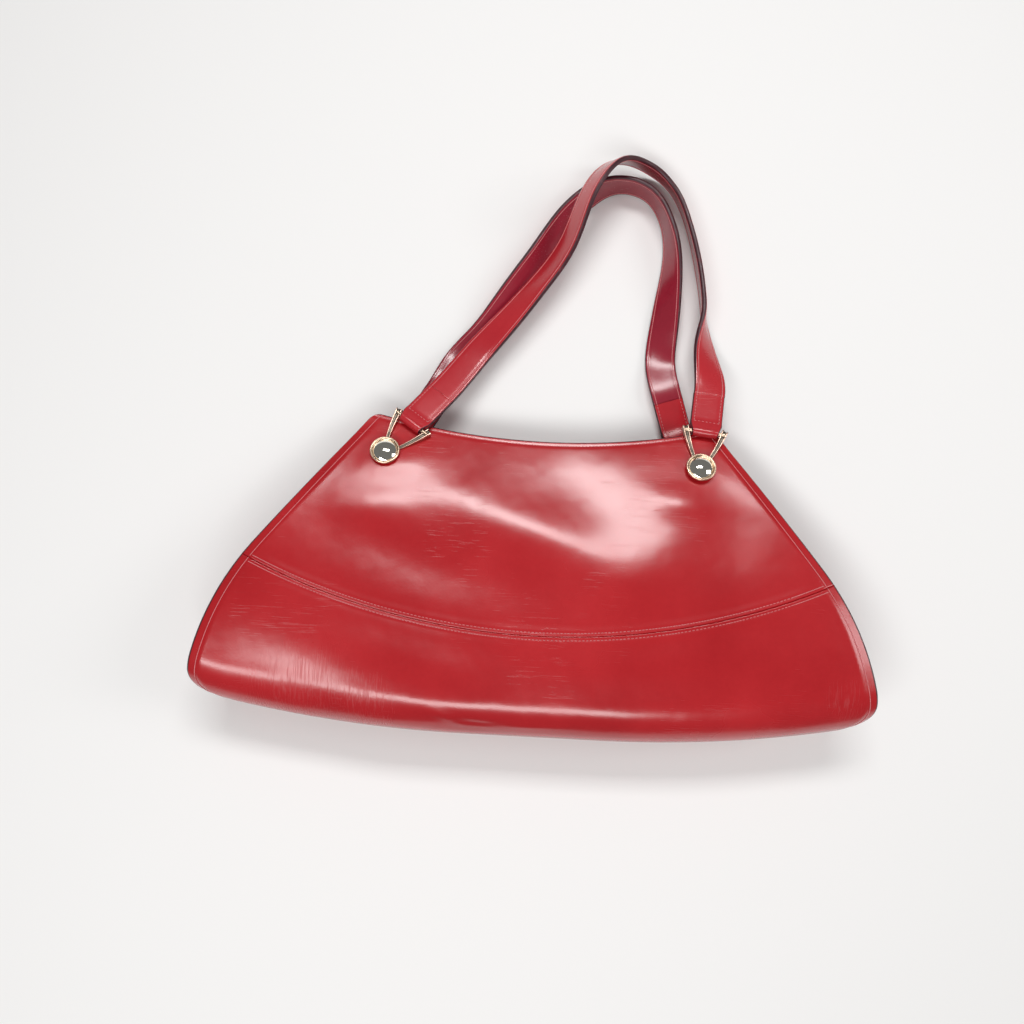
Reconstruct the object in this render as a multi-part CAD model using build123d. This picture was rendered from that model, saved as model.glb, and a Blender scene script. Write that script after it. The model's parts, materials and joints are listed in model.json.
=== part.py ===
from build123d import *
import math
import os

import numpy as np

# A leather shoulder handbag lying on its back, millimetres.
# +X runs across the bag, +Y from the base to the mouth and the handles, +Z up out of the front.
# The origin is the centre of the flat strip that the bag stands on when it is upright.

# ---- leather, lining and stitching allowances
LEATHER = 1.4              # one layer of the outer leather
FACING = 1.2               # the leather strip that faces the inside of the mouth
LINING = 0.6
LINING_INSET = 5.0         # the lining hangs this far inside the outer skin
SEAM_GAP = 0.3             # between two panels that a seam joins

# ---- cross-section of the bag, in the YZ plane
HALF_DEPTH = 28.0          # of the rolled bottom
ROLL_R = 24.0              # radius of the rolled bottom, front and back
MOUTH_Y = 182.0
FRONT_DROP = 28.0          # how far the front wall falls from the roll to the mouth
BACK_RISE = 7.5            # how far the back wall lifts from the roll to the mouth
SECTION_TOP = 202.0        # the walls are drawn past the mouth, then trimmed
MID_Z = -9.0               # a level between the front and back walls at the mouth
REACH = 300.0              # cutting blocks extend this far beyond the middle of the bag

# ---- outline of the bag, seen from the front
BASE_FLAT_HALF = 40.0      # the base is straight here, and bows up towards both ends
BOW_R = 760.0
BASE_CLEARANCE = 0.5       # the outline's base runs this far below the roll
BOW_SWEEP = 15.0           # degrees, to past the ends of the bag
SIDE_C = (30.0, 7.0)       # centre of the round lower part of the right side
SIDE_R = 170.0
SIDE_LEAN = 36.2           # degrees from upright of the straight upper part
TOP_CORNER_Y = 191.5
TOP_DIP = 178.0            # height of the mouth's edge on the centre line
BASE_CORNER_R = 15.0
TOP_CORNER_R = 9.0
GUSSET_INSET = 7.0         # the gussets stand this far inside the side edges
GUSSET_SHIFT = 1.4         # the gusset's leather, measured across the bag

# ---- curved seam between the upper and lower panels
SEAM_MID_Y = 60.5
SEAM_END = (163.0, 94.5)
SEAM_TAPE_HALF = 5.0
SEAM_TAPE = 0.6

# ---- stiffener in the base
BOARD_HALF_LENGTH = 150.0
BOARD_HALF_WIDTH = 10.5
BOARD_FLOOR = 2.6
BOARD = 2.0

# ---- mouth
FACING_DEPTH = 34.0
FACING_SLANT = 1.06        # the sloping walls are this much thicker when measured along Z
GUSSET_TOP = 180.0
LINING_TOP = 148.0

# ---- studs and yokes, in each stud's own frame: Z out of the leather, Y along the yoke
STUD_X = 96.0
STUD_Y = 164.8
POST_R = 3.0
POST_HOLE_R = 3.1
POST_DEPTH = 5.6
NUT_R = 4.6
NUT = (-5.2, -2.9)
RIM_R = 9.0
RIM = (2.4, 4.2)
DOME_R = 7.7
DOME_SEAT = 3.2
DOME_TOP = 5.9
EYE_HOLE_R = 3.07
EYE_R = 6.4
EYE = (0.3, 1.7)
ARM_ROOT = (3.6, 4.6)      # centre of the arm where it leaves the eye
ARM_TIP = (12.3, 27.0)
ARM_ROOT_SIZE = (2.2, 1.4)
ARM_TIP_SIZE = (4.2, 4.0)
ARM_TIP_Z = 2.5
BAR_Y = 24.4
BAR_Z = 3.1
BAR_R = 1.3
BAR_HOLE_R = 1.38
YOKE_LEAN = {              # degrees from +Y towards +X
    ("front", "left"): 36.0,
    ("front", "right"): 8.0,
    ("back", "left"): 31.0,
    ("back", "right"): -18.0,
}

# ---- handles
STRAP_W = 19.5
STRAP_T = 3.0
LOOP_R = 3.0
LOOP_HOLE_R = 1.45
LOOP_TAPER = 9.0
LOOP_PLAN = [(7.5, 21.0), (8.8, 25.0), (STRAP_W / 2, 28.8), (STRAP_W / 2, 60.0)]  # narrower in the yoke
END_R = 50.0               # the strap's sewn end stops at this radius about its stud
END_GAP = 0.35
STRAP_START_R = 45.0       # the route starts inside the gap and is trimmed back to it
STRAP_LEAD_R = 57.0
STRAP_STATIONS = 44

# Centre lines of the handles between their yokes: x, y, how far the strap's lowest edge is off
# the ground, and the turn of the strap's width about its line in degrees, where 0 lies flat with
# the outer face up, 90 stands on edge and 180 lies flat with the outer face down.
GROUND = -28.0
FRONT_ROUTE = [
    (-44, 236, 13, 14),
    (-28, 256, 11, 26),
    (-8, 282, 10, 41),
    (10, 310, 14, 50),
    (20, 336, 25, 58),
    (34, 358, 22, 62),
    (55, 367, 8, 68),
    (75, 358, 1, 74),
    (89, 332, 0.2, 78),
    (97, 301, 0.2, 82),
    (101, 271, 0.8, 80),
    (102, 246, 6, 36),
]
BACK_ROUTE = [
    (-57, 233, 0.9, 177),
    (-42, 251, 0.4, 166),
    (-27, 274, 0.4, 146),
    (-8, 305, 0.4, 130),
    (8, 331, 0.4, 126),
    (24, 348, 0.4, 112),
    (43, 356, 0.4, 92),
    (62, 351, 0.4, 88),
    (75, 331, 0.4, 96),
    (79, 307, 0.4, 114),
    (78, 284, 0.4, 134),
    (76, 260, 0.4, 154),
    (75, 239, 0.8, 172),
]

# ---- zip, recessed in the mouth: it runs along X
ZIP_Y = 160.0              # middle of the tape's thickness
ZIP_Z = -7.8
TAPE_HALF = 86.0
TAPE = 0.6
CHAIN_HALF = 78.0
CHAIN_GAP = 0.45           # half the slot between the two rows of teeth
CHAIN_EDGE = 2.6
TOOTH_HEIGHT = 2.2
TOOTH_PITCH = 2.4
TOOTH_LENGTH = 1.5
CHAIN_CORE = 0.8
SLIDER_HALF = (4.5, 2.6, 4.0)
SLIDER_X = 72.0
TUNNEL_HALF = (1.3, 2.9)
SLIDER_SLOT = 1.0
SLIDER_POST = 0.3
BRIDGE_HALF = 3.6
BRIDGE_TOP = 3.0
BRIDGE_WALL = 0.8
PULLER_PIN_R = 0.6
PULLER_LENGTH = 24.0
PULLER_HALF = 3.2
PULLER_THICK = 1.2

os.makedirs("parts", exist_ok=True)


def save(name, shape):
    export_step(shape, f"parts/{name}.step")


def box_between(low, high):
    """A box from its lowest to its highest corner."""
    size = [b - a for a, b in zip(low, high)]
    middle = [(a + b) / 2 for a, b in zip(low, high)]
    return Pos(*middle) * Box(*size)


# ------------------------------------------------------------------ walls of the bag
def wall_radius(change):
    """Radius of the arc that leaves the roll level and has moved by change at the mouth."""
    run = MOUTH_Y - ROLL_R
    return (run**2 + change**2) / (2 * change)


FRONT_R = wall_radius(FRONT_DROP)
BACK_R = wall_radius(BACK_RISE)


def front_z(y, inset=0.0):
    return HALF_DEPTH - FRONT_R + math.sqrt((FRONT_R - inset) ** 2 - (y - ROLL_R) ** 2)


def back_z(y, inset=0.0):
    return -HALF_DEPTH + BACK_R - math.sqrt((BACK_R - inset) ** 2 - (y - ROLL_R) ** 2)


def section(inset=0.0):
    """The bag's closed cross-section, drawn in from its outer skin by inset."""
    flat, roll = HALF_DEPTH - ROLL_R, ROLL_R - inset
    diagonal = roll * math.sqrt(0.5)
    middle = (ROLL_R + SECTION_TOP) / 2
    front = [(y, front_z(y, inset)) for y in (ROLL_R, middle, SECTION_TOP)]
    back = [(y, back_z(y, inset)) for y in (SECTION_TOP, middle, ROLL_R)]
    edge = Line((inset, -flat), (inset, flat))
    edge += ThreePointArc((inset, flat), (ROLL_R - diagonal, flat + diagonal), front[0])
    edge += ThreePointArc(*front)
    edge += Line(front[-1], back[0])
    edge += ThreePointArc(*back)
    edge += ThreePointArc(back[-1], (ROLL_R - diagonal, -flat - diagonal), (inset, -flat))
    return make_face(edge)


def section_height(x, y):
    """How far up the bag's cross-section a point lies that is at x, y seen from the front."""
    beyond_flat = max(abs(x) - BASE_FLAT_HALF, 0)
    return BOW_R - math.hypot(beyond_flat, BOW_R - y)


def along_base(face):
    """Sweep a YZ section along the base: straight in the middle and bowed up at both ends."""
    face = Plane.YZ * face
    bow_axis = Axis((BASE_FLAT_HALF, BOW_R, 0), (0, 0, 1))
    bowed = revolve(Pos(BASE_FLAT_HALF, 0, 0) * face, bow_axis, revolution_arc=BOW_SWEEP)
    return extrude(face, amount=BASE_FLAT_HALF, both=True) + bowed + mirror(bowed, Plane.YZ)


def layer(inner, outer):
    """The part of the walls between two insets from the outer skin."""
    return along_base(section(outer)) - along_base(section(inner))


LEAN = math.radians(SIDE_LEAN)
SIDE_JOINT = (SIDE_C[0] + SIDE_R * math.cos(LEAN), SIDE_C[1] + SIDE_R * math.sin(LEAN))
TOP_CORNER = (SIDE_JOINT[0] - (TOP_CORNER_Y - SIDE_JOINT[1]) * math.tan(LEAN), TOP_CORNER_Y)


def crossing(low_centre, low_radius, high_centre, high_radius):
    """The right-hand point where two circles cross."""
    across, up = high_centre[0] - low_centre[0], high_centre[1] - low_centre[1]
    apart = math.hypot(across, up)
    along = (low_radius**2 - high_radius**2 + apart**2) / (2 * apart)
    beside = math.sqrt(low_radius**2 - along**2)
    return (
        low_centre[0] + (along * across + beside * up) / apart,
        low_centre[1] + (along * up - beside * across) / apart,
    )


def outline(inset=0.0):
    """The bag seen from the front, its sides moved in by inset, as a prism along Z."""
    side_c, bow_c = (SIDE_C[0] - inset, SIDE_C[1]), (BASE_FLAT_HALF, BOW_R)
    bow_r = BOW_R + BASE_CLEARANCE
    corner = crossing(side_c, SIDE_R, bow_c, bow_r)
    bow_turn = math.degrees(math.asin((corner[0] - bow_c[0]) / bow_r))
    side_start = math.degrees(math.asin((corner[1] - side_c[1]) / SIDE_R))
    top = (TOP_CORNER[0] - inset, TOP_CORNER[1])
    half = CenterArc(bow_c, bow_r, -90, bow_turn)
    half += CenterArc(side_c, SIDE_R, side_start, SIDE_LEAN - side_start)
    half += Line((SIDE_JOINT[0] - inset, SIDE_JOINT[1]), top)
    edge = half + mirror(half, Plane.YZ)
    edge += Line((-bow_c[0], -BASE_CLEARANCE), (bow_c[0], -BASE_CLEARANCE))
    edge += ThreePointArc(top, (0, TOP_DIP), (-top[0], top[1]))
    face = make_face(edge)
    widest = face.vertices().sort_by(Axis.X)
    face = fillet([widest[0], widest[-1]], BASE_CORNER_R)
    face = fillet(face.vertices().group_by(Axis.Y)[-1], TOP_CORNER_R)
    return extrude(face, amount=2 * HALF_DEPTH, both=True)


def above_curve(middle_y, end, shift=0.0):
    """Everything above an arc that is symmetrical about the centre line, as a prism along Z."""
    x, y = end
    radius = (x**2 + (y - middle_y) ** 2) / (2 * (y - middle_y))
    rise = radius - math.sqrt(radius**2 - REACH**2)
    low, high = middle_y + shift, middle_y + shift + rise
    edge = ThreePointArc((-REACH, high), (0, low), (REACH, high))
    edge += Line((REACH, high), (REACH, 2 * REACH))
    edge += Line((REACH, 2 * REACH), (-REACH, 2 * REACH))
    edge += Line((-REACH, 2 * REACH), (-REACH, high))
    return extrude(make_face(edge), amount=2 * HALF_DEPTH, both=True)


FRONT_SIDE = box_between((-REACH, -REACH, MID_Z), (REACH, REACH, REACH))
BACK_SIDE = box_between((-REACH, -REACH, -REACH), (REACH, REACH, MID_Z))
SIDES = {"front": FRONT_SIDE, "back": BACK_SIDE}


# ------------------------------------------------------------------ studs and yokes
def stud_plane(face, side):
    """A plane on the leather at one stud, its Z axis out of the leather."""
    x = STUD_X if side == "right" else -STUD_X
    height = section_height(x, STUD_Y)
    out, radius, z = (1, FRONT_R, front_z(height)) if face == "front" else (-1, BACK_R, back_z(height))
    slope = math.asin((height - ROLL_R) / radius)
    bow_x = math.copysign(BASE_FLAT_HALF, x)
    upward = Vector(bow_x - x, BOW_R - STUD_Y, 0).normalized()
    normal = upward * math.sin(slope) + Vector(0, 0, out * math.cos(slope))
    level = Vector(out, 0, 0) - normal * (out * normal.X)
    return Plane((x, STUD_Y, z), x_dir=level, z_dir=normal)


def yoke_place(face, side):
    """The stud's frame turned so that its Y axis runs along the yoke."""
    lean = YOKE_LEAN[face, side] * (1 if face == "back" else -1)
    return stud_plane(face, side).location * Rot(0, 0, lean)


def disc(radius, low, high):
    return Pos(0, 0, low) * Cylinder(radius, high - low, align=(Align.CENTER, Align.CENTER, Align.MIN))


def stud_rim():
    """The rim under the dome, in one piece with the post that goes through the leather."""
    rim = disc(RIM_R, *RIM) - disc(DOME_R, DOME_SEAT, RIM[1])
    rim = fillet(rim.edges().filter_by(GeomType.CIRCLE).sort_by(Axis.Z)[-1], 0.3)
    return rim + disc(POST_R, -POST_DEPTH, RIM[0])


def stud_dome():
    rise = DOME_TOP - DOME_SEAT
    radius = (DOME_R**2 + rise**2) / (2 * rise)
    ball = Pos(0, 0, DOME_TOP - radius) * Sphere(radius)
    return ball & disc(DOME_R - 0.05, DOME_SEAT, DOME_TOP + 1)


def stud_nut():
    return disc(NUT_R, *NUT) - disc(POST_HOLE_R, NUT[0] - 1, NUT[1] + 1)


def yoke():
    """An eye round the post and two arms that widen to square-cut tips beyond the bar."""
    body = disc(EYE_R, *EYE)
    root_z = (EYE[0] + EYE[1]) / 2
    for hand in (-1, 1):
        ends = []
        for (x, y), size, z in ((ARM_ROOT, ARM_ROOT_SIZE, root_z), (ARM_TIP, ARM_TIP_SIZE, ARM_TIP_Z)):
            run = (ARM_TIP[0] - ARM_ROOT[0], ARM_TIP[1] - ARM_ROOT[1])
            plane = Plane((hand * x, y, z), x_dir=(run[1], -hand * run[0], 0), z_dir=(hand * run[0], run[1], 0))
            ends.append(plane * Rectangle(*size))
        body += loft(ends)
    body -= disc(EYE_HOLE_R, EYE[0] - 1, EYE[1] + 1)
    return body - Pos(0, BAR_Y, BAR_Z) * Rot(0, 90, 0) * Cylinder(BAR_HOLE_R, 60)


def bar():
    """A pin across the yoke, its ends inside the two arms."""
    return Pos(0, BAR_Y, BAR_Z) * Rot(0, 90, 0) * Cylinder(BAR_R, 2 * ARM_TIP[0])


def strap_end():
    """The strap's end: folded round the bar, then sewn back onto itself."""
    half = STRAP_T / 2
    reach = END_R + 4
    taper = BAR_Y + LOOP_TAPER
    shape = Polygon(
        (BAR_Y, BAR_Z - LOOP_R), (taper, BAR_Z - half), (reach, BAR_Z - half),
        (reach, BAR_Z + half), (taper, BAR_Z + half), (BAR_Y, BAR_Z + LOOP_R), align=None,
    )
    shape += Pos(BAR_Y, BAR_Z) * Circle(LOOP_R)
    shape -= Pos(BAR_Y, BAR_Z) * Circle(LOOP_HOLE_R)
    solid = extrude(Plane.YZ * shape, amount=STRAP_W / 2, both=True)
    plan = Polygon(*[(hand * x, y) for hand, row in ((1, LOOP_PLAN), (-1, LOOP_PLAN[::-1])) for x, y in row],
                   align=None)
    solid &= extrude(plan, amount=20, both=True)
    return solid & disc(END_R, BAR_Z - 10, BAR_Z + 10)


# ------------------------------------------------------------------ handles
def as_array(vector):
    return np.array(tuple(vector))


def unit(vector):
    return vector / np.linalg.norm(vector)


def strap_frames(face, route):
    """Points, directions and width directions at even steps along a handle's centre line."""
    left, right = yoke_place(face, "left"), yoke_place(face, "right")
    points, widths = [], []
    for place, radii, hand in (
        (left, (STRAP_START_R, STRAP_LEAD_R), 1),
        (right, (STRAP_LEAD_R, STRAP_START_R), -1),
    ):
        across = as_array((place * Pos(hand, 0, 0)).position) - as_array(place.position)
        for radius in radii:
            points.append(as_array((place * Pos(0, radius, BAR_Z)).position))
            widths.append(across)
    for index, (x, y, lift, twist) in enumerate(route):
        angle = math.radians(twist)
        rest = abs(math.sin(angle)) * STRAP_W / 2 + abs(math.cos(angle)) * STRAP_T / 2
        points.insert(index + 2, np.array((x, y, GROUND + lift + rest)))
    line = Spline([tuple(p) for p in points])
    for index, (x, y, lift, twist) in enumerate(route):
        along = unit(points[index + 3] - points[index + 1])
        inward = unit(np.cross(along, (0, 0, 1)))
        up = np.cross(inward, along)
        angle = math.radians(twist)
        widths.insert(index + 2, inward * math.cos(angle) + up * math.sin(angle))
    steps = [0.0] + [np.linalg.norm(b - a) for a, b in zip(points, points[1:])]
    share = np.cumsum(steps) / sum(steps)
    widths = np.array(widths)
    frames = []
    for at in np.linspace(0, 1, STRAP_STATIONS):
        along = as_array(line % at)
        width = np.array([np.interp(at, share, widths[:, axis]) for axis in range(3)])
        width = unit(width - along * width.dot(along))
        frames.append((as_array(line @ at), along, width))
    return frames, line.length


def strap_layer(face, frames, low, high):
    """One leather layer of a handle, between two heights through the strap's thickness."""
    rings = []
    for point, along, width in frames:
        out = np.cross(width, along)
        half = width * STRAP_W / 2
        corners = [point - half + out * low, point + half + out * low,
                   point + half + out * high, point - half + out * high]
        rings.append(Wire.make_polygon([tuple(c) for c in corners], close=True))
    solid = Solid.make_loft(rings, True)
    for side in ("left", "right"):
        solid -= yoke_place(face, side) * disc(END_R + END_GAP, BAR_Z - 8, BAR_Z + 8)
    return solid


# ------------------------------------------------------------------ zip
def zip_tape(hand, facing_z):
    inner = ZIP_Z + hand * (CHAIN_EDGE + 0.05)
    outer = facing_z - hand * 0.1
    return box_between(
        (-TAPE_HALF, ZIP_Y - TAPE / 2, min(inner, outer)), (TAPE_HALF, ZIP_Y + TAPE / 2, max(inner, outer))
    )


def zip_chain(hand):
    """One row of teeth on its core, with a slot between the rows for the slider's post."""
    near, far = ZIP_Z + hand * CHAIN_GAP, ZIP_Z + hand * CHAIN_EDGE
    low, high = min(near, far), max(near, far)
    core = box_between((-CHAIN_HALF, ZIP_Y - CHAIN_CORE, low), (CHAIN_HALF, ZIP_Y + CHAIN_CORE, high))
    count = int(2 * CHAIN_HALF / TOOTH_PITCH)
    first = -(count - 1) / 2 * TOOTH_PITCH + hand * TOOTH_PITCH / 4
    tooth = Box(TOOTH_LENGTH, TOOTH_HEIGHT, high - low)
    teeth = [Pos(first + i * TOOTH_PITCH, ZIP_Y, (low + high) / 2) * tooth for i in range(count)]
    return core + teeth


def zip_slider():
    """Two plates and side flanges round the chain, a post between the rows, and a bridge."""
    x, y, z = SLIDER_HALF
    body = Box(2 * x, 2 * y, 2 * z)
    body = fillet(body.edges().filter_by(Axis.Y), 1.5)
    body -= Box(4 * x, 2 * TUNNEL_HALF[0], 2 * TUNNEL_HALF[1])
    body -= Box(4 * x, SLIDER_SLOT, 4 * z)
    body += Box(x, 2 * y, 2 * SLIDER_POST)
    bridge = box_between((-BRIDGE_HALF, y, -0.8), (BRIDGE_HALF, y + BRIDGE_TOP, 0.8))
    bridge -= box_between(
        (-BRIDGE_HALF + BRIDGE_WALL, y - 1, -2), (BRIDGE_HALF - BRIDGE_WALL, y + BRIDGE_TOP - BRIDGE_WALL, 2)
    )
    return Pos(SLIDER_X, ZIP_Y, ZIP_Z) * (body + bridge)


PULLER_PIN_Y = ZIP_Y + SLIDER_HALF[1] + PULLER_PIN_R + 0.3


def zip_puller():
    """A flat tab with two legs that hold a pin under the slider's bridge."""
    leg_in, leg_out = 1.1, 2.3
    pin = Cylinder(PULLER_PIN_R, 2 * leg_out)
    tab = box_between((-PULLER_LENGTH, -PULLER_THICK / 2, -PULLER_HALF), (-5.5, PULLER_THICK / 2, PULLER_HALF))
    tab = fillet(tab.edges().filter_by(Axis.Y).group_by(Axis.X)[0], 2.5)
    body = pin + tab
    for low, high in ((-leg_out, -leg_in), (leg_in, leg_out)):
        body += box_between((-5.5, -PULLER_THICK / 2, low), (0, PULLER_THICK / 2, high))
    return Pos(SLIDER_X, PULLER_PIN_Y, ZIP_Z) * body


def zip_end_stops():
    """Small metal stops at both ends of both rows."""
    stops = []
    for end in (-1, 1):
        for hand in (-1, 1):
            middle = ZIP_Z + hand * (CHAIN_GAP + CHAIN_EDGE) / 2
            stops.append(Pos(end * (CHAIN_HALF + 1.3), ZIP_Y, middle) * Box(2.2, 2.4, 2.0))
    return Compound(stops)


# ------------------------------------------------------------------ build every node
whole = outline()
above_seam = above_curve(SEAM_MID_Y, SEAM_END)
above_seam_edge = above_curve(SEAM_MID_Y, SEAM_END, -SEAM_GAP)
skin = layer(LEATHER, 0.0) & whole
pocket = outline(GUSSET_INSET + GUSSET_SHIFT + 0.1)

save("lower_wrap_panel", skin - above_seam_edge)

stud_holes = {
    face: [stud_plane(face, side).location * disc(POST_HOLE_R, -8, 2) for side in ("left", "right")]
    for face in SIDES
}
tape_band = above_curve(SEAM_MID_Y, SEAM_END, -SEAM_TAPE_HALF) - above_curve(SEAM_MID_Y, SEAM_END, SEAM_TAPE_HALF)
tapes = layer(LEATHER + SEAM_TAPE, LEATHER) & pocket & tape_band
facings = layer(LEATHER + FACING, LEATHER) & pocket
facings &= above_curve(TOP_DIP - FACING_DEPTH, (TOP_CORNER[0], TOP_CORNER[1] - FACING_DEPTH))
for face, half_space in SIDES.items():
    save(f"{face}_upper_panel", (skin & above_seam & half_space) - stud_holes[face])
    save(f"{face}_seam_tape", tapes & half_space)
    save(f"{face}_mouth_facing", (facings & half_space) - stud_holes[face])

cavity = along_base(section(LEATHER))
gussets = (outline(GUSSET_INSET) - outline(GUSSET_INSET + GUSSET_SHIFT)) & cavity
gussets &= box_between((-REACH, -REACH, -REACH), (REACH, GUSSET_TOP, REACH))
save("left_gusset", gussets & box_between((-REACH, -REACH, -REACH), (-60, REACH, REACH)))
save("right_gusset", gussets & box_between((60, -REACH, -REACH), (REACH, REACH, REACH)))

below_facing = box_between((-REACH, -REACH, -REACH), (REACH, LINING_TOP, REACH))
lining_out = along_base(section(LINING_INSET)) & outline(LINING_INSET + GUSSET_INSET)
lining_in = along_base(section(LINING_INSET + LINING)) & outline(LINING_INSET + GUSSET_INSET + LINING)
save("lining", (lining_out - lining_in) & below_facing)

board = along_base(Pos(BOARD_FLOOR + BOARD / 2, 0) * Rectangle(BOARD, 2 * BOARD_HALF_WIDTH))
save("base_board", board & box_between(
    (-BOARD_HALF_LENGTH, -REACH, -REACH), (BOARD_HALF_LENGTH, REACH, REACH)
))

nuts = []
for face in SIDES:
    for side in ("left", "right"):
        name = f"{face}_{side}"
        plane = stud_plane(face, side).location
        save(f"{name}_stud_rim", plane * stud_rim())
        save(f"{name}_stud_dome", plane * stud_dome())
        nuts.append(plane * stud_nut())
        place = yoke_place(face, side)
        save(f"{name}_yoke", place * yoke())
        save(f"{name}_bar", place * bar())
        save(f"{name}_strap_end", place * strap_end())
save("stud_nuts", Compound(nuts))

for face, route in (("front", FRONT_ROUTE), ("back", BACK_ROUTE)):
    frames, length = strap_frames(face, route)
    print(f"{face} handle: {length:.0f} mm along its centre line")
    save(f"{face}_handle_outer", strap_layer(face, frames, 0.0, STRAP_T / 2))
    save(f"{face}_handle_lining", strap_layer(face, frames, -STRAP_T / 2, 0.0))

facing_inside = (LEATHER + FACING) * FACING_SLANT
save("zip_tape_front", zip_tape(1, front_z(ZIP_Y + TAPE) - facing_inside))
save("zip_tape_back", zip_tape(-1, back_z(ZIP_Y + TAPE) + facing_inside))
save("zip_teeth_front", zip_chain(1))
save("zip_teeth_back", zip_chain(-1))
save("zip_end_stops", zip_end_stops())
save("zip_slider", zip_slider())
save("zip_puller", zip_puller())
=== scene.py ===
import json
import math

import bpy
import numpy as np
from mathutils import Matrix, Vector


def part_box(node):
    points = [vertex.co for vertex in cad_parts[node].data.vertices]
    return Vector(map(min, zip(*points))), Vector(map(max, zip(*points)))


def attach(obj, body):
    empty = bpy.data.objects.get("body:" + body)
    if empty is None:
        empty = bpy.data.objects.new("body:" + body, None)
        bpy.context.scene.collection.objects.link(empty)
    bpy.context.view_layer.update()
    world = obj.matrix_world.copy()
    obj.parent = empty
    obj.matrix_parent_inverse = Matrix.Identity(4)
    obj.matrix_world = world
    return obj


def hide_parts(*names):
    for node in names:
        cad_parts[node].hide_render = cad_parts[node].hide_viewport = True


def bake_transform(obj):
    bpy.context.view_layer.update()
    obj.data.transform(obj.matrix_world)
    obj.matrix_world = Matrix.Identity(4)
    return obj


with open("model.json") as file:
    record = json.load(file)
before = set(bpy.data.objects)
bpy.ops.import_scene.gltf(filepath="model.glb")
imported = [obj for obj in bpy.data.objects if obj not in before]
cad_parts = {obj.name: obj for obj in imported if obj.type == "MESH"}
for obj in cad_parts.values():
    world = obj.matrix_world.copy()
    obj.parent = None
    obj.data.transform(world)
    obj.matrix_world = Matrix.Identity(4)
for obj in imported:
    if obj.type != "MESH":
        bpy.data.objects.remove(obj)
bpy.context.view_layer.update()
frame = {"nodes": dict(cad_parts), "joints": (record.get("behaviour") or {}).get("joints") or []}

# A glossy red leather shoulder handbag lying on its back. Metres, in the frame of the CAD part:
# +X across the bag, +Y from the base to the mouth and handles, +Z out of the front.

MM = 0.001

# ---- the bag's shape, as in the CAD
HALF_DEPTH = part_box("lower_wrap_panel")[1].z
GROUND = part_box("lower_wrap_panel")[0].z
ROLL_R = 24 * MM
FLAT_HALF = HALF_DEPTH - ROLL_R
MOUTH_Y = 182 * MM
FRONT_DROP = 28 * MM
BACK_RISE = 7.5 * MM
BASE_FLAT_HALF = 40 * MM
BOW_R = 760 * MM
BASE_CLEARANCE = 0.5 * MM
SIDE_C = np.array((30, 7)) * MM
SIDE_R = 170 * MM
SIDE_LEAN = math.radians(36.2)
TOP_CORNER_Y = 191.5 * MM
TOP_DIP = 178 * MM
BASE_CORNER_R = 15 * MM
TOP_CORNER_R = 9 * MM
SEAM_MID_Y = 60.5 * MM
SEAM_END = (163 * MM, 94.5 * MM)
LEATHER = 1.4 * MM

# ---- how far stitches lie from an edge
SIDE_STITCH = 5.5 * MM
TOP_STITCH = 2.9 * MM
SEAM_STITCH = 2.1 * MM
STRAP_STITCH = 2.1 * MM
CROSS_STITCH = 30.7 * MM  # from the stud's centre

# ---- handles and yokes, as in the CAD
BAR_Y = 24.4 * MM
BAR_Z = 3.1 * MM
END_R = 50 * MM
STRAP_W = 19.5 * MM
STRAP_T = 3 * MM
STRAP_START_R = 45 * MM
STRAP_LEAD_R = 57 * MM
FOLD_R = 2.3 * MM  # of the strap end's middle line round the bar
LAYERS_MEET = BAR_Y + 9 * MM  # both layers of a strap end lie together from here on
# distances from the stud's centre, and half the strap end's width at each
STRAP_END_TAPER = np.array(((20, 22, 25.5, 29), (7.4, 7.8, 8.7, 9.72))) * MM
# how far each yoke is turned, in degrees
YOKE_LEAN = {
    ("front", "left"): 36.0,
    ("front", "right"): 8.0,
    ("back", "left"): 31.0,
    ("back", "right"): -18.0,
}
# x, y and the height of the lowest edge over the ground in mm, and the turn of the width in degrees
FRONT_ROUTE = [
    (-44, 236, 13, 14),
    (-28, 256, 11, 26),
    (-8, 282, 10, 41),
    (10, 310, 14, 50),
    (20, 336, 25, 58),
    (34, 358, 22, 62),
    (55, 367, 8, 68),
    (75, 358, 1, 74),
    (89, 332, 0.2, 78),
    (97, 301, 0.2, 82),
    (101, 271, 0.8, 80),
    (102, 246, 6, 36),
]
BACK_ROUTE = [
    (-57, 233, 0.9, 177),
    (-42, 251, 0.4, 166),
    (-27, 274, 0.4, 146),
    (-8, 305, 0.4, 130),
    (8, 331, 0.4, 126),
    (24, 348, 0.4, 112),
    (43, 356, 0.4, 92),
    (62, 351, 0.4, 88),
    (75, 331, 0.4, 96),
    (79, 307, 0.4, 114),
    (78, 284, 0.4, 134),
    (76, 260, 0.4, 154),
    (75, 239, 0.8, 172),
]


# ---- small tools
def unit(vectors):
    vectors = np.asarray(vectors, float)
    return vectors / np.maximum(np.linalg.norm(vectors, axis=-1, keepdims=True), 1e-12)


def smoothstep(low, high, value):
    t = np.clip((value - low) / (high - low), 0, 1)
    return t * t * (3 - 2 * t)


def bump_at(x, y, centre, spread, turn=0.0):
    """A soft round or oval rise, 1 at its centre."""
    c, s = math.cos(math.radians(turn)), math.sin(math.radians(turn))
    dx, dy = x - centre[0] * MM, y - centre[1] * MM
    a = (dx * c + dy * s) / (spread[0] * MM)
    b = (-dx * s + dy * c) / (spread[1] * MM)
    return np.exp(-(a * a + b * b))


def coordinates(*parts):
    """Points from the lists of their coordinates. A single number stands for a whole list."""
    return np.stack(np.broadcast_arrays(*parts), axis=-1)


def lengths_along(points):
    """The length from the start of a polyline to each of its points."""
    steps = np.linalg.norm(np.diff(points, axis=0), axis=1)
    return np.concatenate([[0], np.cumsum(steps)])


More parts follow.
